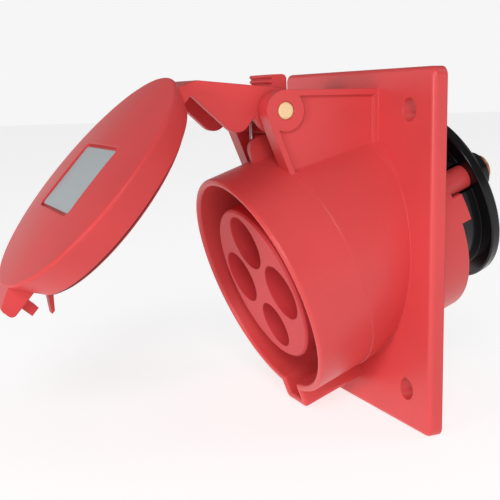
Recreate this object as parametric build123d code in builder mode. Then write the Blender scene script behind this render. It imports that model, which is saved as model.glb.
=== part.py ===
from build123d import *
import os
from math import asin, atan2, cos, radians, sin, sqrt, tan

# Industrial panel socket: a square flange with a socket that looks downwards,
# four contacts in a round insert, and a lid that swings on a pin between two ears.
# Millimetres. The panel face is Y = 0, the socket looks towards -Y, and +Z is up.
# The origin is the centre of the four fixing holes on the panel face.
# The lid stands open, as the part is seen at rest.

# Flange
flange_width = 72.5
flange_height = 85.0
flange_thick = 3.6
flange_corner_r = 2.2
flange_edge_r = 1.2
fixing_spacing_x = 53.6
fixing_spacing_z = 66.0
fixing_hole_r = 2.65

# Panel gasket, let into the back of the flange
gasket_inset = 2.4
gasket_width = 2.0
gasket_thick = 1.2
gasket_clear = 0.1

# Direction of the socket: it leans down from the square to the panel
tilt = 20.5
axis_rise = 1.1

# Barrel of the housing, with radii and distances out along the socket's axis
rim_out = 33.2
rim_r = 29.3
crease_out = 18.2
crease_r = 29.0
crease_step = 0.2
root_r = 27.6
root_out = -2.0
tail_out = -12.2
lip_round = 0.85
well_mouth_r = 27.5
well_floor_r = 26.3
floor_out = 4.0

# Seat ring for the insert, set into the barrel's bore
seat_thick = 3.0
seat_fit = 0.02

# Keyway at the bottom of the barrel
key_outer_r = 33.8
key_half = 5.5
key_round = 1.6
key_groove_r = 32.0
key_groove_half = 3.3
key_floor_wall = 1.8

# Posts of the seat ring, that the rear carrier is screwed to
post_inset = 7.95
post_angle = 23.0
post_r = 3.1
post_rib = 2.4
post_end_out = -22.9
post_pilot_r = 1.5
post_pilot_depth = 9.0

# Stop lug on the tail of the barrel
stop_rise = 3.75
stop_width = 6.5
stop_length = 2.7

# Hinge
pin_rise = 40.0
pin_out = 15.24
pin_r = 2.05
pin_end_x = 13.8
pin_fit = 0.03
pin_chamfer = 0.4
ear_inner_x = 8.9
ear_outer_x = 13.7
ear_boss_r = 4.8
ear_foot_out = 19.4
ear_recess = 0.8
ear_rib = 1.5
ear_root_rib = 1.2
gusset_thick = 1.8
gusset_out = 22.0
gusset_top_z = 27.4
gusset_round = 3.5

# Contact insert
insert_r = 20.3
insert_fit = 0.3
insert_sink = 2.0
insert_flange_r = 25.0
insert_flange_thick = 4.0
insert_chamfer = 0.5
contact_ring_r = 11.5
well_r = 7.1
earth_well_r = 6.1
well_depth = 7.7
pocket_depth = 5.5
pocket_fit = 0.2
passage_fit = 0.15
slot_fit = 0.25

# Contacts
tube_r = 4.0
tube_bore_r = 2.6
earth_tube_r = 4.6
earth_bore_r = 3.3
tube_sink = 0.5
bore_floor_out = 2.0
collar_lip = 0.9
collar_play = 0.1
barrel_r = 4.4
earth_barrel_r = 4.9
barrel_end_out = -21.6
wire_bore_r = 2.2
wire_bore_depth = 15.5
slit_width = 0.8
slit_depth = 12.0
ring_thick = 0.7
ring_width = 2.2
ring_sink = 1.6
ring_gap = 0.06

# Rear carrier
neck_r = 20.0
carrier_fit = 0.5
disc_r = 23.8
disc_thick = 2.8
disc_edge_r = 0.5
barrel_fit = 0.2
wire_entry_r = 3.0
carrier_boss_r = 4.6
carrier_boss_height = 2.0

# Screws
clamp_out = -15.0
clamp_r = 1.5
clamp_fit = 0.05
clamp_reach = 1.0
clamp_head_r = 2.1
clamp_head_start = 5.3
clamp_head_height = 2.6
clamp_hole_fit = 0.3
screw_r = 1.45
screw_bite = 7.0
screw_hole_r = 1.7
screw_head_r = 3.4
screw_head_height = 1.9
screw_head_round = 0.9
driver_slot = 0.7
driver_slot_depth = 0.8

# Lid, measured with the lid shut, out from the rim and up from the socket's axis
open_turn = 62.0
ridge_r = 30.2
ridge_out = 5.8
ridge_round = 0.6
crown_out = 7.7
skirt_end_r = 26.3
skirt_end_out = -2.5
hinge_side_out = 0.0
seal_groove = 0.5
seal_neck_r = 24.2
collar_r = 25.2
collar_height = 0.55
mouth_r = 23.2
cavity_r = 27.0
cavity_out = 5.0
cavity_chamfer = 0.9
mouth_out = 0.4
lip_clear = 0.35
seal_r = 26.0
seal_clear = 0.05

# Lid arm
arm_outer_x = 8.3
arm_wall = 1.8
arm_side_wall = 2.0
arm_boss_r = 5.4
arm_bore_fit = 0.1
arm_start_rise = 26.3
arm_start_out = 5.1
arm_bend_rise = 32.4
arm_bend_out = 1.5
arm_bend_r = 6.0
arm_under_rise = 29.0
arm_back_out = -14.85
arm_lobe_r = 3.3

# Thumb fin on the arm's boss
fin_half = 6.0
fin_reach = 7.8
fin_front = 1.15
fin_back = 2.6
fin_corner_r = 1.2
fin_angle = 23.0
fin_lean = 20.0
fin_rib_r = 0.45
fin_ribs = 3

# Finger tab and the two lugs that enter the keyway
tab_half = 6.0
tab_reach = 34.3
tab_tip_out = 3.8
tab_root_out = 5.7
tab_tip_round = 1.2
lug_half = 2.4
lug_outer = 31.5
lug_inner = 29.2
lug_depth = 3.6
latch_half = 1.6
latch_tip = 28.6
latch_thick = 1.9
latch_depth = 7.2
latch_bite = 0.1

# Label
label_width = 25.0
label_height = 17.0
label_thick = 0.5
label_corner_r = 1.0
label_border = 0.75
label_drop = -0.8
label_floor_out = 6.45

# Closing spring
wire_r = 0.4
coil_r = 2.85
coil_pitch = 1.0
coil_turns = 5.25
leg_seat = 0.05

# Frames
socket = Plane(origin=(0, 0, axis_rise), x_dir=(1, 0, 0),
               z_dir=(0, -cos(radians(tilt)), -sin(radians(tilt))))
side = Plane(origin=socket.origin, x_dir=socket.y_dir, z_dir=(1, 0, 0))
socket_axis = Axis(socket.origin, socket.z_dir)
pin_centre = socket.from_local_coords((0, pin_rise, pin_out))
rim_centre = socket.from_local_coords((0, 0, rim_out))
lid_origin = pin_centre + (rim_centre - pin_centre).rotate(Axis.X, -open_turn)
lid_frame = Plane(origin=lid_origin, x_dir=(1, 0, 0), z_dir=socket.z_dir.rotate(Axis.X, -open_turn))
lid_side = Plane(origin=lid_origin, x_dir=lid_frame.y_dir, z_dir=(1, 0, 0))
lid_axis = Axis(lid_frame.origin, lid_frame.z_dir)
pin_from_rim = pin_out - rim_out

# Derived places
face_out = rim_out - insert_sink
shoulder_out = floor_out - seat_thick
seat_r = well_floor_r - seat_fit
collar_seat_out = shoulder_out
insert_back_out = shoulder_out - insert_flange_thick
well_floor_out = face_out - well_depth
tube_end_out = well_floor_out - tube_sink
disc_back_out = post_end_out - disc_thick
boss_back_out = disc_back_out - carrier_boss_height
key_floor_out = floor_out - key_floor_wall
post_ring_r = well_floor_r - post_inset
post_spots = [(post_ring_r * cos(radians(a)), post_ring_r * sin(radians(a)))
              for a in (post_angle, post_angle + 180)]
skirt_slope = (ridge_r - skirt_end_r) / (ridge_out - skirt_end_out)
seal_lean = asin((hinge_side_out - skirt_end_out) / (2 * skirt_end_r))
seal_mid_out = (hinge_side_out + skirt_end_out) / 2
lid_seat = Plane(
    origin=lid_frame.from_local_coords((0, 0, seal_mid_out)),
    x_dir=(1, 0, 0),
    z_dir=lid_frame.y_dir * -sin(seal_lean) + lid_frame.z_dir * cos(seal_lean),
)

# The four contacts: name, place round the insert, and whether it is the larger earth
contact_spots = {
    "contact_l1": (-contact_ring_r, 0),
    "contact_l2": (0, contact_ring_r),
    "contact_l3": (contact_ring_r, 0),
    "contact_earth": (0, -contact_ring_r),
}


def side_point(rise, out):
    """A point of the plane of symmetry as (Y, Z)."""
    point = socket.from_local_coords((0, rise, out))
    return point.Y, point.Z


def gusset_corner():
    """Rise and distance out of the gusset's front corner, before it is rounded."""
    foot_z = side_point(0, gusset_out)[1]
    return (gusset_top_z - foot_z) / socket.y_dir.Z, gusset_out


def is_earth(name):
    return name == "contact_earth"


def contact_sizes(name):
    """Tube radius, pin bore radius and terminal radius of one contact."""
    if is_earth(name):
        return earth_tube_r, earth_bore_r, earth_barrel_r
    return tube_r, tube_bore_r, barrel_r


def contact_plane(name):
    """The socket's frame moved to the axis of one contact."""
    x, rise = contact_spots[name]
    return Plane(origin=socket.from_local_coords((x, rise, 0)), x_dir=(1, 0, 0), z_dir=socket.z_dir)


def clamp_plane(name):
    """A frame on a contact's axis, looking outwards along its clamp screw."""
    x, rise = contact_spots[name]
    start = socket.from_local_coords((x, rise, clamp_out))
    away = (socket.x_dir * x + socket.y_dir * rise).normalized()
    return Plane(origin=start, x_dir=socket.z_dir, z_dir=away)


def save(piece, name):
    piece.part.label = name
    export_step(piece.part, f"parts/{name}.step")


def make_housing():
    top_z = pin_centre.Z + ear_boss_r
    ear_low = well_floor_r * 0.8
    with BuildPart() as housing:
        # Flange with rounded front edges
        with BuildSketch(Plane.XZ):
            RectangleRounded(flange_width, flange_height, flange_corner_r)
        extrude(amount=flange_thick)
        fillet(housing.faces().sort_by(Axis.Y)[0].edges(), radius=flange_edge_r)

        # Hinge ears, with a shallow recess outside
        with BuildSketch(Plane.YZ.offset(ear_inner_x)):
            with BuildLine():
                Polyline(
                    (-flange_thick / 2, top_z),
                    (pin_centre.Y, top_z),
                    (pin_centre.Y, pin_centre.Z),
                    side_point(pin_rise, pin_out + ear_boss_r),
                    side_point(ear_low, ear_foot_out),
                    (-flange_thick / 2, 0),
                    close=True,
                )
            make_face()
            with Locations((pin_centre.Y, pin_centre.Z)):
                Circle(ear_boss_r)
        extrude(amount=ear_outer_x - ear_inner_x)
        with BuildSketch(Plane.YZ.offset(ear_outer_x)):
            with BuildLine():
                Polyline(
                    (-flange_thick - ear_root_rib, top_z - ear_rib),
                    (pin_centre.Y, top_z - ear_rib),
                    (pin_centre.Y, pin_centre.Z),
                    side_point(pin_rise, pin_out + ear_boss_r - ear_rib),
                    side_point(ear_low, ear_foot_out - ear_rib),
                    (-flange_thick - ear_root_rib, 0),
                    close=True,
                )
            make_face()
            with Locations((pin_centre.Y, pin_centre.Z)):
                Circle(ear_boss_r, mode=Mode.SUBTRACT)
        extrude(amount=-ear_recess, mode=Mode.SUBTRACT)
        mirror(about=Plane.YZ)

        # Gusset between the ears, under the lid's arm
        with BuildSketch(Plane.YZ):
            with BuildLine():
                Polyline(
                    side_point(ear_low, gusset_out),
                    side_point(*gusset_corner()),
                    (-flange_thick / 2, gusset_top_z),
                    (-flange_thick / 2, 0),
                    close=True,
                )
            make_face()
            nose = vertices().sort_by_distance(side_point(*gusset_corner()))[0]
            fillet(nose, radius=gusset_round)
        extrude(amount=gusset_thick / 2, both=True)

        # Barrel, filled for now
        with BuildSketch(side):
            with BuildLine():
                Polyline(
                    (0, tail_out),
                    (root_r, tail_out),
                    (root_r, root_out),
                    (crease_r + crease_step, crease_out),
                    (crease_r, crease_out),
                    (rim_r, rim_out),
                    (0, rim_out),
                    close=True,
                )
            make_face()
        revolve(axis=socket_axis)

        # Keyway ridge below the barrel
        with BuildSketch(socket.offset(rim_out)):
            with Locations((0, -key_outer_r / 2)):
                Rectangle(2 * key_half, key_outer_r)
            fillet(vertices().group_by(Axis.Y)[0], radius=key_round)
        extrude(amount=-(rim_out - key_floor_out))

        # Well round the insert, and the bore behind it
        with BuildSketch(side):
            with BuildLine():
                Polyline(
                    (0, rim_out),
                    (well_mouth_r, rim_out),
                    (well_floor_r, floor_out),
                    (well_floor_r, tail_out),
                    (0, tail_out),
                    close=True,
                )
            make_face()
        revolve(axis=socket_axis, mode=Mode.SUBTRACT)

        # Keyway groove
        with BuildSketch(socket.offset(rim_out)):
            with Locations((0, -(key_groove_r + insert_r + insert_fit) / 2 - 1)):
                Rectangle(2 * key_groove_half, key_groove_r - insert_r - insert_fit - 2)
        extrude(amount=-(rim_out - floor_out), mode=Mode.SUBTRACT)

        # Rounded lip of the barrel
        rim_face = housing.faces().filter_by(Axis(rim_centre, socket.z_dir)).sort_by(socket_axis)[-1]
        fillet(rim_face.edges(), radius=lip_round)

        # Stop lug on the tail
        with BuildSketch(socket.offset(tail_out)):
            Circle(root_r)
            Circle(well_floor_r, mode=Mode.SUBTRACT)
            with Locations((root_r, stop_rise)):
                Rectangle(root_r, stop_width, mode=Mode.INTERSECT)
        extrude(amount=-stop_length)

        # Bore for the hinge pin
        with BuildSketch(Plane.YZ):
            with Locations((pin_centre.Y, pin_centre.Z)):
                Circle(pin_r + pin_fit)
        extrude(amount=ear_outer_x, both=True, mode=Mode.SUBTRACT)

        # Four fixing holes and the groove for the panel gasket
        with BuildSketch(Plane.XZ):
            with GridLocations(fixing_spacing_x, fixing_spacing_z, 2, 2):
                Circle(fixing_hole_r)
        extrude(amount=flange_thick, mode=Mode.SUBTRACT)
        groove_x = flange_width - 2 * (gasket_inset - gasket_clear)
        groove_z = flange_height - 2 * (gasket_inset - gasket_clear)
        groove = gasket_width + 2 * gasket_clear
        with BuildSketch(Plane.XZ):
            Rectangle(groove_x, groove_z)
            Rectangle(groove_x - 2 * groove, groove_z - 2 * groove, mode=Mode.SUBTRACT)
        extrude(amount=gasket_thick, mode=Mode.SUBTRACT)
    save(housing, "housing")


def make_insert_seat():
    with BuildPart() as seat:
        # Ring that the flange of the insert rests on
        with BuildSketch(socket.offset(floor_out)):
            Circle(seat_r)
            Circle(insert_r + insert_fit, mode=Mode.SUBTRACT)
        extrude(amount=-seat_thick)

        # Posts for the rear carrier, with ribs that reach out along the bore
        with BuildSketch(socket.offset(shoulder_out)):
            with Locations(*post_spots):
                Circle(post_r)
        extrude(amount=post_end_out - shoulder_out)
        rib_length = seat_r - post_ring_r
        with BuildSketch(socket.offset(shoulder_out)):
            with PolarLocations(post_ring_r + rib_length / 2, 2, start_angle=post_angle):
                Rectangle(rib_length, post_rib)
            Circle(seat_r, mode=Mode.INTERSECT)
        extrude(amount=tail_out - shoulder_out)
        with BuildSketch(socket.offset(post_end_out)):
            with Locations(*post_spots):
                Circle(post_pilot_r)
        extrude(amount=post_pilot_depth, mode=Mode.SUBTRACT)
    save(seat, "insert_seat")


def make_panel_gasket():
    width = flange_width - 2 * gasket_inset
    height = flange_height - 2 * gasket_inset
    with BuildPart() as gasket:
        with BuildSketch(Plane.XZ):
            Rectangle(width, height)
            Rectangle(width - 2 * gasket_width, height - 2 * gasket_width, mode=Mode.SUBTRACT)
        extrude(amount=gasket_thick)
    save(gasket, "panel_gasket")


def make_contact_insert():
    with BuildPart() as insert:
        # Turned body with its rear flange
        with BuildSketch(side):
            with BuildLine():
                Polyline(
                    (0, insert_back_out),
                    (insert_flange_r, insert_back_out),
                    (insert_flange_r, shoulder_out),
                    (insert_r, shoulder_out),
                    (insert_r, face_out - insert_chamfer),
                    (insert_r - insert_chamfer, face_out),
                    (0, face_out),
                    close=True,
                )
            make_face()
        revolve(axis=socket_axis)

        # A stepped bore for each contact
        for name, spot in contact_spots.items():
            tube, _, _ = contact_sizes(name)
            opening = earth_well_r if is_earth(name) else well_r
            with BuildSketch(socket.offset(face_out)):
                with Locations(spot):
                    Circle(opening)
            extrude(amount=-well_depth, mode=Mode.SUBTRACT)
            with BuildSketch(socket.offset(well_floor_out)):
                with Locations(spot):
                    Circle(tube + ring_thick + ring_gap + pocket_fit)
            extrude(amount=-pocket_depth, mode=Mode.SUBTRACT)
            with BuildSketch(socket.offset(well_floor_out)):
                with Locations(spot):
                    Circle(tube + passage_fit)
            extrude(amount=insert_back_out - well_floor_out, mode=Mode.SUBTRACT)
            with BuildSketch(socket.offset(insert_back_out)):
                with Locations(spot):
                    Circle(tube + collar_lip + passage_fit)
            extrude(amount=collar_seat_out - insert_back_out, mode=Mode.SUBTRACT)

        # Slots that let the rear flange pass the posts and their ribs
        slot_r = post_r + slot_fit
        slot_length = insert_flange_r + 1 - post_ring_r
        with BuildSketch(socket.offset(insert_back_out)):
            with Locations(*post_spots):
                Circle(slot_r)
            with PolarLocations(post_ring_r + slot_length / 2, 2, start_angle=post_angle):
                Rectangle(slot_length, 2 * slot_r)
        extrude(amount=insert_flange_thick + slot_fit, mode=Mode.SUBTRACT)
    save(insert, "contact_insert")


def make_contact(name):
    tube, bore, terminal = contact_sizes(name)
    plane = contact_plane(name)
    section = Plane(origin=plane.origin, x_dir=plane.y_dir, z_dir=(1, 0, 0))
    with BuildPart() as contact:
        # Tube, collar and terminal barrel, turned from one bar
        collar_back = insert_back_out + collar_play
        with BuildSketch(section):
            with BuildLine():
                Polyline(
                    (0, bore_floor_out),
                    (bore, bore_floor_out),
                    (bore, tube_end_out),
                    (tube, tube_end_out),
                    (tube, collar_seat_out),
                    (tube + collar_lip, collar_seat_out),
                    (tube + collar_lip, collar_back),
                    (terminal, collar_back),
                    (terminal, barrel_end_out),
                    (wire_bore_r, barrel_end_out),
                    (wire_bore_r, barrel_end_out + wire_bore_depth),
                    (0, barrel_end_out + wire_bore_depth),
                    close=True,
                )
            make_face()
        revolve(axis=Axis(plane.origin, plane.z_dir))

        # Crossed slits that let the tube grip a pin
        with BuildSketch(plane.offset(tube_end_out)):
            Rectangle(2 * tube + 1, slit_width)
            Rectangle(slit_width, 2 * tube + 1)
        extrude(amount=-slit_depth, mode=Mode.SUBTRACT)

        # Tapped hole for the clamp screw
        with BuildSketch(clamp_plane(name)):
            Circle(clamp_r + clamp_fit)
        extrude(amount=terminal + 1, mode=Mode.SUBTRACT)
    save(contact, name)


def make_contact_ring(name):
    tube, _, _ = contact_sizes(name)
    plane = contact_plane(name)
    with BuildPart() as ring:
        with BuildSketch(plane.offset(tube_end_out - ring_sink)):
            Circle(tube + ring_gap + ring_thick)
            Circle(tube + ring_gap, mode=Mode.SUBTRACT)
            with Locations((0, tube)):
                Rectangle(slit_width, tube, mode=Mode.SUBTRACT)
        extrude(amount=-ring_width)
    save(ring, name.replace("contact_", "contact_ring_"))


def make_rear_carrier():
    with BuildPart() as carrier:
        # Neck, disc and the two screw bosses
        with BuildSketch(socket.offset(insert_back_out)):
            Circle(neck_r)
            with Locations(*post_spots):
                Circle(post_r + carrier_fit, mode=Mode.SUBTRACT)
            with PolarLocations(post_ring_r + neck_r / 2, 2, start_angle=post_angle):
                Rectangle(neck_r, 2 * (post_r + carrier_fit), mode=Mode.SUBTRACT)
        extrude(amount=post_end_out - insert_back_out)
        with BuildSketch(socket.offset(post_end_out)):
            Circle(disc_r)
        extrude(amount=-disc_thick)
        disc_edges = carrier.edges().filter_by(GeomType.CIRCLE).group_by(SortBy.RADIUS)[-1]
        fillet(disc_edges, radius=disc_edge_r)
        with BuildSketch(socket.offset(disc_back_out)):
            with Locations(*post_spots):
                Circle(carrier_boss_r)
        extrude(amount=-carrier_boss_height)

        # Holes for the carrier screws
        with BuildSketch(socket.offset(boss_back_out)):
            with Locations(*post_spots):
                Circle(screw_hole_r)
        extrude(amount=carrier_boss_height + disc_thick, mode=Mode.SUBTRACT)

        # A passage for each terminal, its wire and its clamp screw
        for name, spot in contact_spots.items():
            _, _, terminal = contact_sizes(name)
            with BuildSketch(socket.offset(insert_back_out)):
                with Locations(spot):
                    Circle(terminal + barrel_fit)
            extrude(amount=barrel_end_out - barrel_fit - insert_back_out, mode=Mode.SUBTRACT)
            with BuildSketch(socket.offset(disc_back_out)):
                with Locations(spot):
                    Circle(wire_entry_r)
            extrude(amount=barrel_end_out - disc_back_out, mode=Mode.SUBTRACT)
            with BuildSketch(clamp_plane(name)):
                Circle(clamp_head_r + clamp_hole_fit)
            extrude(amount=neck_r, mode=Mode.SUBTRACT)
    save(carrier, "rear_carrier")


def make_terminal_screws():
    with BuildPart() as screws:
        for name in contact_spots:
            plane = clamp_plane(name)
            with BuildSketch(plane.offset(clamp_reach)):
                Circle(clamp_r)
            extrude(amount=clamp_head_start - clamp_reach)
            with BuildSketch(plane.offset(clamp_head_start)):
                Circle(clamp_head_r)
            extrude(amount=clamp_head_height)
            with BuildSketch(plane.offset(clamp_head_start + clamp_head_height)):
                Rectangle(2 * clamp_head_r + 1, driver_slot)
            extrude(amount=-driver_slot_depth, mode=Mode.SUBTRACT)
    save(screws, "terminal_screws")


def make_carrier_screws():
    with BuildPart() as screws:
        for spot in post_spots:
            with BuildSketch(socket.offset(post_end_out + screw_bite)):
                with Locations(spot):
                    Circle(screw_r)
            extrude(amount=boss_back_out - post_end_out - screw_bite)
            with BuildSketch(socket.offset(boss_back_out)):
                with Locations(spot):
                    Circle(screw_head_r)
            extrude(amount=-screw_head_height)
        fillet(screws.faces().sort_by(socket_axis)[:2].edges(), radius=screw_head_round)
        with BuildSketch(socket.offset(boss_back_out - screw_head_height)):
            with Locations(*post_spots):
                Rectangle(1.3 * screw_head_r, driver_slot)
                Rectangle(driver_slot, 1.3 * screw_head_r)
        extrude(amount=driver_slot_depth, mode=Mode.SUBTRACT)
    save(screws, "carrier_screws")


def make_hinge_pin():
    with BuildPart() as pin:
        with BuildSketch(Plane.YZ):
            with Locations((pin_centre.Y, pin_centre.Z)):
                Circle(pin_r)
        extrude(amount=pin_end_x, both=True)
        chamfer(pin.faces().filter_by(Axis.X).edges(), length=pin_chamfer)
    save(pin, "hinge_pin")


def make_closing_spring():
    """Helical torsion spring round the pin, with one leg resting on the gusset's nose."""
    # The nose is the rounded front corner of the gusset
    corner_y = side_point(*gusset_corner())[0]
    nose_y = corner_y + gusset_round / tan(radians(90 - tilt) / 2)
    nose_z = gusset_top_z - gusset_round
    leg_back = pin_centre.Y - coil_r + wire_r
    leg_end_z = nose_z + sqrt(gusset_round ** 2 - (leg_back - nose_y) ** 2) + leg_seat
    length = coil_pitch * coil_turns
    with BuildPart() as spring:
        with BuildLine() as wire:
            coil = Helix(pitch=coil_pitch, height=length, radius=coil_r,
                         center=pin_centre - Vector(length, 0, 0), direction=(1, 0, 0))
            Line(coil @ 1, (coil @ 1) + (coil % 1) * (pin_centre.Z - leg_end_z))
        with BuildSketch(Plane(origin=coil @ 0, z_dir=coil % 0)):
            Circle(wire_r)
        sweep(path=wire.line)
    save(spring, "closing_spring")


def make_lid():
    pin_u, pin_w = pin_rise, pin_from_rim
    # Where the top of the arm runs tangent into the boss round the pin
    to_pin = Vector(pin_u - arm_bend_rise, pin_w - arm_bend_out)
    tangent = atan2(to_pin.Y, to_pin.X) + asin(arm_boss_r / to_pin.length)
    run = sqrt(to_pin.length ** 2 - arm_boss_r ** 2)
    touch = (arm_bend_rise + run * cos(tangent), arm_bend_out + run * sin(tangent))
    channel_r = arm_boss_r - arm_wall
    with BuildPart() as lid:
        # Arm: a channel that is open towards the barrel
        with BuildSketch(lid_side) as outline:
            with BuildLine():
                Polyline(
                    (arm_start_rise, arm_start_out),
                    (arm_bend_rise, arm_bend_out),
                    touch,
                    (pin_u, pin_w),
                    (pin_u, arm_back_out),
                    (arm_under_rise, arm_back_out),
                    (arm_under_rise, lip_clear),
                    (arm_start_rise, lip_clear),
                    close=True,
                )
            make_face()
            lobe = vertices().sort_by_distance((arm_under_rise, arm_back_out))[0]
            bend = vertices().sort_by_distance((arm_bend_rise, arm_bend_out))[0]
            fillet(lobe, radius=arm_lobe_r)
            fillet(bend, radius=arm_bend_r)
            with Locations((pin_u, pin_w)):
                Circle(arm_boss_r)
        extrude(amount=arm_outer_x, both=True)
        with BuildSketch(lid_side):
            add(outline.sketch_local)
            offset(amount=-arm_wall, mode=Mode.REPLACE)
            with BuildLine():
                Polyline(
                    (pin_u, pin_w - channel_r),
                    (mouth_r, pin_w - channel_r),
                    (mouth_r, lip_clear),
                    (arm_under_rise + arm_wall, lip_clear),
                    (pin_u, pin_w + channel_r),
                    close=True,
                )
            make_face()
        extrude(amount=arm_outer_x - arm_side_wall, both=True, mode=Mode.SUBTRACT)

        # Thumb fin, ribbed across its front
        fin_root = Vector(cos(radians(fin_angle)), sin(radians(fin_angle)))
        fin_way = Vector(cos(radians(fin_angle + fin_lean)), sin(radians(fin_angle + fin_lean)))
        fin_side = Vector(-fin_way.Y, fin_way.X)
        front, back = fin_side * fin_front, fin_side * -fin_back
        foot = Vector(pin_u, pin_w) + fin_root * (channel_r + arm_wall / 2)
        tip = foot + fin_way * (fin_reach - channel_r)
        with BuildSketch(lid_side):
            with BuildLine():
                corners = [foot + back, foot + front, tip + front, tip + back]
                Polyline(*[(corner.X, corner.Y) for corner in corners], close=True)
            make_face()
            far_corner = vertices().sort_by_distance((tip + back).to_tuple())[0]
            fillet(far_corner, radius=fin_corner_r)
            for number in range(fin_ribs):
                spot = tip + front - fin_way * (fin_rib_r + number * 2.6 * fin_rib_r)
                with Locations((spot.X, spot.Y)):
                    Circle(fin_rib_r)
        extrude(amount=fin_half, both=True)

        # Domed disc with a conical skirt
        skirt_low_r = skirt_end_r - skirt_slope
        with BuildSketch(lid_side):
            with BuildLine():
                dome = ThreePointArc((-ridge_r, ridge_out), (0, crown_out), (ridge_r, ridge_out))
                Line(dome @ 1, (skirt_low_r, skirt_end_out - 1))
                Line((skirt_low_r, skirt_end_out - 1), (-skirt_low_r, skirt_end_out - 1))
                Line((-skirt_low_r, skirt_end_out - 1), dome @ 0)
            make_face()
            fillet(vertices().group_by(Axis.Y)[-1], radius=ridge_round)
            with Locations((-ridge_r, 0)):
                Rectangle(2 * ridge_r, 4 * ridge_r, mode=Mode.SUBTRACT)
        revolve(axis=lid_axis)

        # Foot of the skirt, cut so that it clears the lip as the lid swings
        with BuildSketch(lid_seat):
            Circle(well_mouth_r + lip_clear)
        extrude(amount=-crown_out, mode=Mode.SUBTRACT)
        with BuildSketch(lid_seat):
            Circle(seal_neck_r)
        extrude(amount=-seal_groove)
        with BuildSketch(lid_seat.offset(-seal_groove)):
            Circle(collar_r)
        extrude(amount=-collar_height)

        # Cavity over the contacts
        with BuildSketch(lid_side):
            with BuildLine():
                Polyline(
                    (0, skirt_end_out - crown_out),
                    (mouth_r, skirt_end_out - crown_out),
                    (mouth_r, mouth_out),
                    (cavity_r, cavity_out - cavity_chamfer),
                    (cavity_r - cavity_chamfer, cavity_out),
                    (0, cavity_out),
                    close=True,
                )
            make_face()
        revolve(axis=lid_axis, mode=Mode.SUBTRACT)

        # Finger tab
        with BuildSketch(lid_side):
            with BuildLine():
                Polyline(
                    (-cavity_r - arm_wall, tab_root_out),
                    (-tab_reach, tab_tip_out),
                    (-tab_reach, lip_clear),
                    (-cavity_r, lip_clear),
                    close=True,
                )
            make_face()
            fillet(vertices().group_by(Axis.X)[0], radius=tab_tip_round)
        extrude(amount=tab_half, both=True)

        # Two lugs that enter the keyway
        with BuildSketch(lid_side):
            with BuildLine():
                Polyline(
                    (-lug_outer, lip_clear + 1),
                    (-lug_outer, -lug_depth),
                    (-lug_inner, -lug_depth),
                    (-lug_inner, lip_clear + 1),
                    close=True,
                )
            make_face()
        extrude(amount=lug_half, both=True)
        with BuildSketch(lid_side):
            with BuildLine():
                latch_top = skirt_end_out - seal_groove - latch_bite
                Polyline(
                    (-collar_r, latch_top),
                    (-latch_tip, -latch_depth),
                    (-latch_tip + latch_thick / 2, -latch_depth),
                    (-collar_r + latch_thick, latch_top),
                    close=True,
                )
            make_face()
        extrude(amount=latch_half, both=True)

        # Recess for the label and bore for the hinge pin
        with BuildSketch(lid_frame.offset(label_floor_out)):
            with Locations((0, label_drop)):
                RectangleRounded(label_width + 2 * label_border, label_height + 2 * label_border,
                                 label_corner_r + label_border)
        extrude(amount=crown_out, mode=Mode.SUBTRACT)
        with BuildSketch(lid_side):
            with Locations((pin_u, pin_w)):
                Circle(pin_r + arm_bore_fit)
        extrude(amount=arm_outer_x, both=True, mode=Mode.SUBTRACT)
    save(lid, "lid")


def make_lid_gasket():
    with BuildPart() as gasket:
        with BuildSketch(lid_seat.offset(-seal_clear / 2)):
            Circle(seal_r)
            Circle(seal_neck_r + seal_clear, mode=Mode.SUBTRACT)
        extrude(amount=-(seal_groove - seal_clear))
    save(gasket, "lid_gasket")


def make_label_plate():
    with BuildPart() as label:
        with BuildSketch(lid_frame.offset(label_floor_out)):
            with Locations((0, label_drop)):
                RectangleRounded(label_width, label_height, label_corner_r)
        extrude(amount=label_thick)
    save(label, "label_plate")


os.makedirs("parts", exist_ok=True)
make_housing()
make_insert_seat()
make_panel_gasket()
make_contact_insert()
for contact_name in contact_spots:
    make_contact(contact_name)
    make_contact_ring(contact_name)
make_rear_carrier()
make_terminal_screws()
make_carrier_screws()
make_hinge_pin()
make_closing_spring()
make_lid()
make_lid_gasket()
make_label_plate()
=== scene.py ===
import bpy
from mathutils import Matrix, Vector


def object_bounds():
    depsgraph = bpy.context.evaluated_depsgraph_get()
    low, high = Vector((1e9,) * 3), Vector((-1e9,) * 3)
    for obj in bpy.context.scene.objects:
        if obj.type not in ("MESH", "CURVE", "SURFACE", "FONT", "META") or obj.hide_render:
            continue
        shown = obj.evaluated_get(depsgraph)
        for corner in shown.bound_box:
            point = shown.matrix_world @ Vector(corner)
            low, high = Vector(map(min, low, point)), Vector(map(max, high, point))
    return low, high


bl_info = {
    "name": "Industrial Panel Socket",
    "version": (1, 0, 0),
    "blender": (4, 5, 0),
    "location": "View3D > Sidebar > Panel Socket",
    "description": "Dresses a tilted panel socket with a hinged lid: finishes, soft lights and a studio stage",
    "category": "Add Mesh",
}

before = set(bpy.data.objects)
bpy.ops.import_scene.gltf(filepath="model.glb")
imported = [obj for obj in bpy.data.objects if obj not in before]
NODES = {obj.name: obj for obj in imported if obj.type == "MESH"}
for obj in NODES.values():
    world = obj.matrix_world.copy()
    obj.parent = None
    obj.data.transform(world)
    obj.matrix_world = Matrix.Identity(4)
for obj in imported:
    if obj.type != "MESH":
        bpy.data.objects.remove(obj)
cad_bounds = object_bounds()

from math import cos, radians, sin

import bpy
from bpy.props import FloatProperty, FloatVectorProperty, PointerProperty
from bpy.types import Operator, Panel, PropertyGroup
from mathutils import Matrix, Vector

MM = 0.001
LOWEST, HIGHEST = Vector(cad_bounds[0]), Vector(cad_bounds[1])

# The middle part of a noise, which a finish spreads over its own range
NOISE_LOW, NOISE_HIGH = 0.3, 0.7

# Rays that round an edge in the shader
EDGE_SAMPLES = 6

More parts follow.
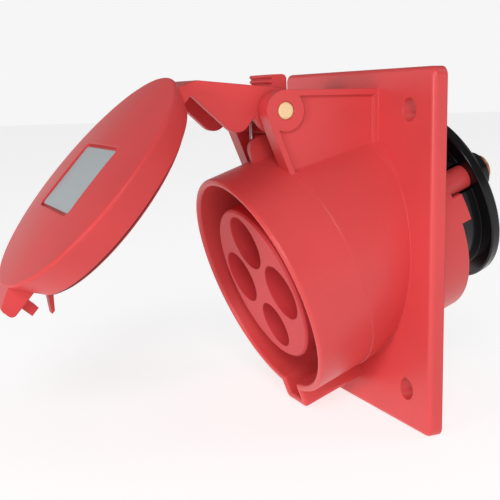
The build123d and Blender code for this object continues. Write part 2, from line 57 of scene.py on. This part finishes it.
# Patterns of the finishes, in turns per metre
FLOW_DRIFT, FLOW_WAVE = 45.0, 130.0
TARNISH, RUBBER_BLOOM, RUBBER_GRAIN = 420.0, 260.0, 3200.0
FLOOR_MOTTLE = 3.0

# Depths of the patterns
WAVE_DEPTH, TOOL_LINE_DEPTH, RUBBER_DEPTH = 0.02 * MM, 0.006 * MM, 0.01 * MM

# The stage
FLOOR_SIZE = 6.0
FLOOR_GREY = 0.42
SKY_LOW, SKY_LOW_GREY = 0.12, 0.92
SKY_HIGH, SKY_HIGH_GREY = 0.32, 0.20
SENSOR_WIDTH = 36.0
NEAREST = 0.01

# Soft lights: name, azimuth and elevation in degrees, size in metres, power in watts
LIGHT_DISTANCE = 0.90
LIGHTS = (
    ("key", 62.0, 32.0, 0.35, 3.0),
    ("fill", 22.0, 7.0, 0.18, 2.4),
    ("back", 160.0, 40.0, 0.40, 0.8),
)


class SocketSizes(PropertyGroup):
    moulded_edge: FloatProperty(
        name="Moulded edge",
        description="Radius of the small edges of the moulded pieces",
        default=0.40 * MM, min=0.0, unit="LENGTH")
    lid_edge: FloatProperty(
        name="Lid edge",
        description="Radius of the lid's small edges",
        default=0.50 * MM, min=0.0, unit="LENGTH")
    metal_edge: FloatProperty(
        name="Metal edge",
        description="Radius of the small turned and pressed edges",
        default=0.10 * MM, min=0.0, unit="LENGTH")
    label_edge: FloatProperty(
        name="Label edge",
        description="Radius round the top of the label plate",
        default=0.15 * MM, min=0.0, unit="LENGTH")


class SocketFinish(PropertyGroup):
    housing_red: FloatVectorProperty(
        name="Housing red", description="Colour of the housing", subtype="COLOR",
        size=3, min=0.0, max=1.0, default=(0.66, 0.062, 0.064))
    lid_red: FloatVectorProperty(
        name="Lid red", description="Colour of the lid", subtype="COLOR",
        size=3, min=0.0, max=1.0, default=(0.66, 0.062, 0.064))
    insert_red: FloatVectorProperty(
        name="Insert red", description="Colour of the contact insert", subtype="COLOR",
        size=3, min=0.0, max=1.0, default=(0.60, 0.050, 0.056))
    carrier_black: FloatVectorProperty(
        name="Carrier black", description="Colour of the rear carrier", subtype="COLOR",
        size=3, min=0.0, max=1.0, default=(0.006, 0.006, 0.007))
    pin_cream: FloatVectorProperty(
        name="Pin cream", description="Colour of the hinge pin", subtype="COLOR",
        size=3, min=0.0, max=1.0, default=(0.86, 0.62, 0.33))
    label_grey: FloatVectorProperty(
        name="Label grey", description="Colour of the bare label plate", subtype="COLOR",
        size=3, min=0.0, max=1.0, default=(0.38, 0.42, 0.44))
    brass: FloatVectorProperty(
        name="Brass", description="Colour of the contacts", subtype="COLOR",
        size=3, min=0.0, max=1.0, default=(0.62, 0.42, 0.14))
    screw_gold: FloatVectorProperty(
        name="Screw gold", description="Colour of the carrier screws", subtype="COLOR",
        size=3, min=0.0, max=1.0, default=(0.52, 0.22, 0.10))
    steel: FloatVectorProperty(
        name="Steel", description="Colour of the springs and clamp screws", subtype="COLOR",
        size=3, min=0.0, max=1.0, default=(0.52, 0.52, 0.54))
    seal_black: FloatVectorProperty(
        name="Seal black", description="Colour of the panel gasket", subtype="COLOR",
        size=3, min=0.0, max=1.0, default=(0.012, 0.012, 0.012))
    seal_lid: FloatVectorProperty(
        name="Lid seal", description="Colour of the ring in the lid", subtype="COLOR",
        size=3, min=0.0, max=1.0, default=(0.05, 0.006, 0.006))


class SocketStage(PropertyGroup):
    azimuth: FloatProperty(
        name="Azimuth", description="Direction of the view round the part",
        default=radians(66.04), subtype="ANGLE")
    elevation: FloatProperty(
        name="Elevation", description="Height of the view above the horizon",
        default=radians(9.48), subtype="ANGLE")
    roll: FloatProperty(
        name="Roll", description="Lean of the camera about its line of sight",
        default=radians(-1.09), subtype="ANGLE")
    eye: FloatVectorProperty(
        name="Eye", description="Place of the camera", subtype="TRANSLATION", unit="LENGTH",
        size=3, default=(203.35 * MM, -122.32 * MM, 36.32 * MM))
    lens: FloatProperty(
        name="Lens", description="Focal length of the camera in millimetres",
        default=65.64, min=1.0)
    floor_gap: FloatProperty(
        name="Floor gap", description="Gap between the part and the floor",
        default=0.2 * MM, min=0.0, unit="LENGTH")
    floor_glow: FloatProperty(
        name="Floor glow", description="Light that the floor gives by itself",
        default=0.74, min=0.0, subtype="FACTOR")


def direction_to(azimuth, elevation):
    """Unit vector out of the part, where azimuth 0 is straight out of the panel's front."""
    return Vector((sin(azimuth) * cos(elevation), -cos(azimuth) * cos(elevation), sin(elevation)))


def dress(piece, material):
    """Gives a piece one material in one slot."""
    piece.data.materials.clear()
    piece.data.materials.append(material)
    for face in piece.data.polygons:
        face.material_index = 0


def dress_node(node, material):
    """Gives a solid of the frame its finish."""
    dress(NODES[node], material)


def new_material(name):
    """An empty node material with its shader and the surface's own coordinates."""
    material = bpy.data.materials.new(name)
    material.use_nodes = True
    tree = material.node_tree
    shader = tree.nodes["Principled BSDF"]
    coordinates = tree.nodes.new("ShaderNodeTexCoord")
    return material, tree, shader, coordinates


def noise(tree, coordinates, scale, detail=2.0, roughness=0.5):
    """A noise on the surface's own coordinates, in turns per metre."""
    node = tree.nodes.new("ShaderNodeTexNoise")
    node.inputs["Scale"].default_value = scale
    node.inputs["Detail"].default_value = detail
    node.inputs["Roughness"].default_value = roughness
    tree.links.new(coordinates.outputs["Object"], node.inputs["Vector"])
    return node


def ranged(tree, source, low, high):
    """Spreads the middle part of a noise over a range."""
    node = tree.nodes.new("ShaderNodeMapRange")
    node.inputs["From Min"].default_value = NOISE_LOW
    node.inputs["From Max"].default_value = NOISE_HIGH
    node.inputs["To Min"].default_value = low
    node.inputs["To Max"].default_value = high
    tree.links.new(source, node.inputs["Value"])
    return node.outputs["Result"]


def shaded(colour, factor):
    """A lighter or darker form of a colour, with full cover."""
    return tuple(min(1.0, channel * factor) for channel in colour) + (1.0,)


def varied_colour(tree, shader, source, colour, spread):
    """Lets the base colour drift a little about its value."""
    ramp = tree.nodes.new("ShaderNodeValToRGB")
    ramp.color_ramp.elements[0].position = NOISE_LOW
    ramp.color_ramp.elements[0].color = shaded(colour, 1.0 - spread)
    ramp.color_ramp.elements[1].position = NOISE_HIGH
    ramp.color_ramp.elements[1].color = shaded(colour, 1.0 + spread)
    tree.links.new(source, ramp.inputs["Fac"])
    tree.links.new(ramp.outputs["Color"], shader.inputs["Base Color"])


def bumped(tree, shader, edge, layers):
    """Rounds the edges, then stacks bump layers, each a height, its depth in metres and its strength."""
    rounding = tree.nodes.new("ShaderNodeBevel")
    rounding.samples = EDGE_SAMPLES
    rounding.inputs["Radius"].default_value = edge
    previous = rounding.outputs["Normal"]
    for height, depth, strength in layers:
        bump = tree.nodes.new("ShaderNodeBump")
        bump.inputs["Distance"].default_value = depth
        bump.inputs["Strength"].default_value = strength
        tree.links.new(height, bump.inputs["Height"])
        tree.links.new(previous, bump.inputs["Normal"])
        previous = bump.outputs["Normal"]
    tree.links.new(previous, shader.inputs["Normal"])


def moulded_plastic(name, colour, roughness, edge, grain_depth, grain_scale=2600.0, spread=0.05, gloss=0.5):
    """Coloured plastic with the fine grain of a spark-eroded mould and faint flow waves."""
    material, tree, shader, coordinates = new_material(name)
    shader.inputs["Specular IOR Level"].default_value = gloss
    drift = noise(tree, coordinates, FLOW_DRIFT, detail=3.0)
    grain = noise(tree, coordinates, grain_scale, detail=2.0, roughness=0.6)
    wave = noise(tree, coordinates, FLOW_WAVE, detail=1.0)
    varied_colour(tree, shader, drift.outputs["Fac"], colour, spread)
    tree.links.new(ranged(tree, drift.outputs["Fac"], roughness - 0.03, roughness + 0.05),
                   shader.inputs["Roughness"])
    bumped(tree, shader, edge, [(wave.outputs["Fac"], WAVE_DEPTH, 0.35),
                                (grain.outputs["Fac"], grain_depth, 0.6)])
    return material


def metal(name, colour, roughness, edge, line_scale, spread=0.08):
    """Turned or drawn metal with fine tool lines and a little tarnish."""
    material, tree, shader, coordinates = new_material(name)
    shader.inputs["Metallic"].default_value = 1.0
    tarnish = noise(tree, coordinates, TARNISH, detail=4.0)
    lines = noise(tree, coordinates, line_scale, detail=2.0, roughness=0.7)
    varied_colour(tree, shader, tarnish.outputs["Fac"], colour, spread)
    tree.links.new(ranged(tree, tarnish.outputs["Fac"], roughness - 0.06, roughness + 0.10),
                   shader.inputs["Roughness"])
    bumped(tree, shader, edge, [(lines.outputs["Fac"], TOOL_LINE_DEPTH, 0.5)])
    return material


def rubber(name, colour, edge):
    """Matt seal rubber with a dusty bloom."""
    material, tree, shader, coordinates = new_material(name)
    bloom = noise(tree, coordinates, RUBBER_BLOOM, detail=4.0)
    grain = noise(tree, coordinates, RUBBER_GRAIN)
    varied_colour(tree, shader, bloom.outputs["Fac"], colour, 0.25)
    tree.links.new(ranged(tree, bloom.outputs["Fac"], 0.62, 0.80), shader.inputs["Roughness"])
    bumped(tree, shader, edge, [(grain.outputs["Fac"], RUBBER_DEPTH, 0.5)])
    return material


def settings():
    """The sizes, the finish and the stage that the panel shows."""
    scene = bpy.context.scene
    return scene.socket_sizes, scene.socket_finish, scene.socket_stage


class SOCKET_OT_housing(Operator):
    """Dress the housing, with its flange, barrel, keyway and hinge ears, and the seat in its bore"""
    bl_idname = "socket.housing"
    bl_label = "Housing"

    def execute(self, context):
        sizes, finish, _ = settings()
        red = moulded_plastic("moulded_red", finish.housing_red, 0.36, sizes.moulded_edge, 0.012 * MM,
                              gloss=0.36)
        dress_node("housing", red)
        dress_node("insert_seat", red)
        return {"FINISHED"}


class SOCKET_OT_lid(Operator):
    """Dress the lid with its arm, fin and tab, and its seal"""
    bl_idname = "socket.lid"
    bl_label = "Lid"

    def execute(self, context):
        sizes, finish, _ = settings()
        red = moulded_plastic("grained_red", finish.lid_red, 0.38, sizes.lid_edge, 0.03 * MM,
                              grain_scale=1900.0, gloss=0.18)
        dress_node("lid", red)
        dress_node("lid_gasket", rubber("lid_rubber", finish.seal_lid, sizes.metal_edge))
        return {"FINISHED"}


class SOCKET_OT_insert(Operator):
    """Dress the contact insert with its four wells"""
    bl_idname = "socket.insert"
    bl_label = "Contact insert"

    def execute(self, context):
        sizes, finish, _ = settings()
        red = moulded_plastic("insert_red", finish.insert_red, 0.44, sizes.moulded_edge, 0.010 * MM,
                              gloss=0.14)
        dress_node("contact_insert", red)
        return {"FINISHED"}


class SOCKET_OT_carrier(Operator):
    """Dress the glossy black rear carrier"""
    bl_idname = "socket.carrier"
    bl_label = "Rear carrier"

    def execute(self, context):
        sizes, finish, _ = settings()
        black = moulded_plastic("glossy_black", finish.carrier_black, 0.16, sizes.moulded_edge, 0.003 * MM,
                                spread=0.2, gloss=0.3)
        dress_node("rear_carrier", black)
        return {"FINISHED"}


class SOCKET_OT_metal_parts(Operator):
    """Dress the contacts, spring rings, screws and closing spring"""
    bl_idname = "socket.metal_parts"
    bl_label = "Metal parts"

    def execute(self, context):
        sizes, finish, _ = settings()
        brass = metal("turned_brass", finish.brass, 0.28, sizes.metal_edge, 2400.0)
        steel = metal("drawn_steel", finish.steel, 0.30, sizes.metal_edge, 3000.0)
        gold = metal("passivated_zinc", finish.screw_gold, 0.34, sizes.metal_edge, 1800.0, spread=0.2)
        for node in NODES:
            if node.startswith("contact_ring") or node in ("closing_spring", "terminal_screws"):
                dress_node(node, steel)
            elif node.startswith("contact_") and node != "contact_insert":
                dress_node(node, brass)
        dress_node("carrier_screws", gold)
        return {"FINISHED"}


class SOCKET_OT_small_parts(Operator):
    """Dress the hinge pin, the label plate and the panel gasket"""
    bl_idname = "socket.small_parts"
    bl_label = "Small parts"

    def execute(self, context):
        sizes, finish, _ = settings()
        cream = moulded_plastic("natural_nylon", finish.pin_cream, 0.38, sizes.moulded_edge, 0.008 * MM,
                                spread=0.06)
        dress_node("hinge_pin", cream)
        grey = moulded_plastic("label_film", finish.label_grey, 0.30, sizes.label_edge, 0.006 * MM)
        dress_node("label_plate", grey)
        dress_node("panel_gasket", rubber("panel_rubber", finish.seal_black, sizes.metal_edge))
        return {"FINISHED"}


class SOCKET_OT_stage(Operator):
    """Set the pale floor, the soft lights and the camera"""
    bl_idname = "socket.stage"
    bl_label = "Stage"

    def execute(self, context):
        _, _, stage = settings()
        self.floor(stage)
        self.lights()
        self.camera(stage)
        return {"FINISHED"}

    def floor(self, stage):
        height = LOWEST.z - stage.floor_gap
        bpy.ops.object.select_all(action="DESELECT")
        bpy.ops.mesh.primitive_plane_add(size=FLOOR_SIZE, location=(0, 0, height))
        floor = bpy.context.view_layer.objects.active
        floor.name = "floor"
        material, tree, shader, coordinates = new_material("pale_floor")
        mottle = noise(tree, coordinates, FLOOR_MOTTLE)
        varied_colour(tree, shader, mottle.outputs["Fac"], (FLOOR_GREY, FLOOR_GREY, FLOOR_GREY), 0.01)
        shader.inputs["Emission Color"].default_value = (1.0, 1.0, 1.0, 1.0)
        shader.inputs["Emission Strength"].default_value = stage.floor_glow
        shader.inputs["Roughness"].default_value = 0.7
        shader.inputs["Specular IOR Level"].default_value = 0.1
        dress(floor, material)

    def lights(self):
        world = bpy.data.worlds.new("studio")
        bpy.context.scene.world = world
        world.use_nodes = True
        tree = world.node_tree
        direction = tree.nodes.new("ShaderNodeTexCoord")
        height = tree.nodes.new("ShaderNodeSeparateXYZ")
        dome = tree.nodes.new("ShaderNodeValToRGB")
        dome.color_ramp.elements[0].position = SKY_LOW
        dome.color_ramp.elements[0].color = (SKY_LOW_GREY, SKY_LOW_GREY, SKY_LOW_GREY, 1.0)
        dome.color_ramp.elements[1].position = SKY_HIGH
        dome.color_ramp.elements[1].color = (SKY_HIGH_GREY, SKY_HIGH_GREY, SKY_HIGH_GREY, 1.0)
        tree.links.new(direction.outputs["Generated"], height.inputs["Vector"])
        tree.links.new(height.outputs["Z"], dome.inputs["Fac"])
        tree.links.new(dome.outputs["Color"], tree.nodes["Background"].inputs["Color"])
        centre = (LOWEST + HIGHEST) / 2
        for name, azimuth, elevation, size, power in LIGHTS:
            toward = direction_to(radians(azimuth), radians(elevation))
            self.softbox(name, centre + toward * LIGHT_DISTANCE, centre, size, power)

    def softbox(self, name, place, target, size, power):
        bpy.ops.object.light_add(type="AREA", location=place)
        light = bpy.context.view_layer.objects.active
        light.name = name
        light.data.shape = "DISK"
        light.data.size = size
        light.data.energy = power
        light.visible_camera = False
        light.rotation_euler = (target - place).to_track_quat("-Z", "Y").to_euler()

    def camera(self, stage):
        bpy.ops.object.camera_add(location=stage.eye)
        camera = bpy.context.view_layer.objects.active
        camera.name = "camera"
        back = direction_to(stage.azimuth, stage.elevation)
        right = Vector((cos(stage.azimuth), sin(stage.azimuth), 0.0))
        up = back.cross(right)
        level = Matrix((right, up, back)).transposed()
        camera.rotation_euler = (level @ Matrix.Rotation(stage.roll, 3, "Z")).to_euler()
        camera.data.lens = stage.lens
        camera.data.sensor_width = SENSOR_WIDTH
        camera.data.clip_start = NEAREST
        bpy.context.scene.camera = camera


STEPS = (
    SOCKET_OT_housing,
    SOCKET_OT_lid,
    SOCKET_OT_insert,
    SOCKET_OT_carrier,
    SOCKET_OT_metal_parts,
    SOCKET_OT_small_parts,
    SOCKET_OT_stage,
)


class SOCKET_PT_panel(Panel):
    """Lists the steps that dress the socket"""
    bl_label = "Panel Socket"
    bl_idname = "SOCKET_PT_panel"
    bl_space_type = "VIEW_3D"
    bl_region_type = "UI"
    bl_category = "Panel Socket"

    def draw(self, context):
        layout = self.layout
        for step in STEPS:
            layout.operator(step.bl_idname)
        for group in settings():
            box = layout.box()
            for name in group.__annotations__:
                box.prop(group, name)


CLASSES = (SocketSizes, SocketFinish, SocketStage, *STEPS, SOCKET_PT_panel)


def register():
    for item in CLASSES:
        bpy.utils.register_class(item)
    bpy.types.Scene.socket_sizes = PointerProperty(type=SocketSizes)
    bpy.types.Scene.socket_finish = PointerProperty(type=SocketFinish)
    bpy.types.Scene.socket_stage = PointerProperty(type=SocketStage)


def unregister():
    del bpy.types.Scene.socket_stage
    del bpy.types.Scene.socket_finish
    del bpy.types.Scene.socket_sizes
    for item in reversed(CLASSES):
        bpy.utils.unregister_class(item)


def main():
    register()
    bpy.context.scene.view_settings.view_transform = "Standard"
    bpy.ops.socket.housing()
    bpy.ops.socket.lid()
    bpy.ops.socket.insert()
    bpy.ops.socket.carrier()
    bpy.ops.socket.metal_parts()
    bpy.ops.socket.small_parts()
    bpy.ops.socket.stage()


if __name__ == "__main__":
    main()
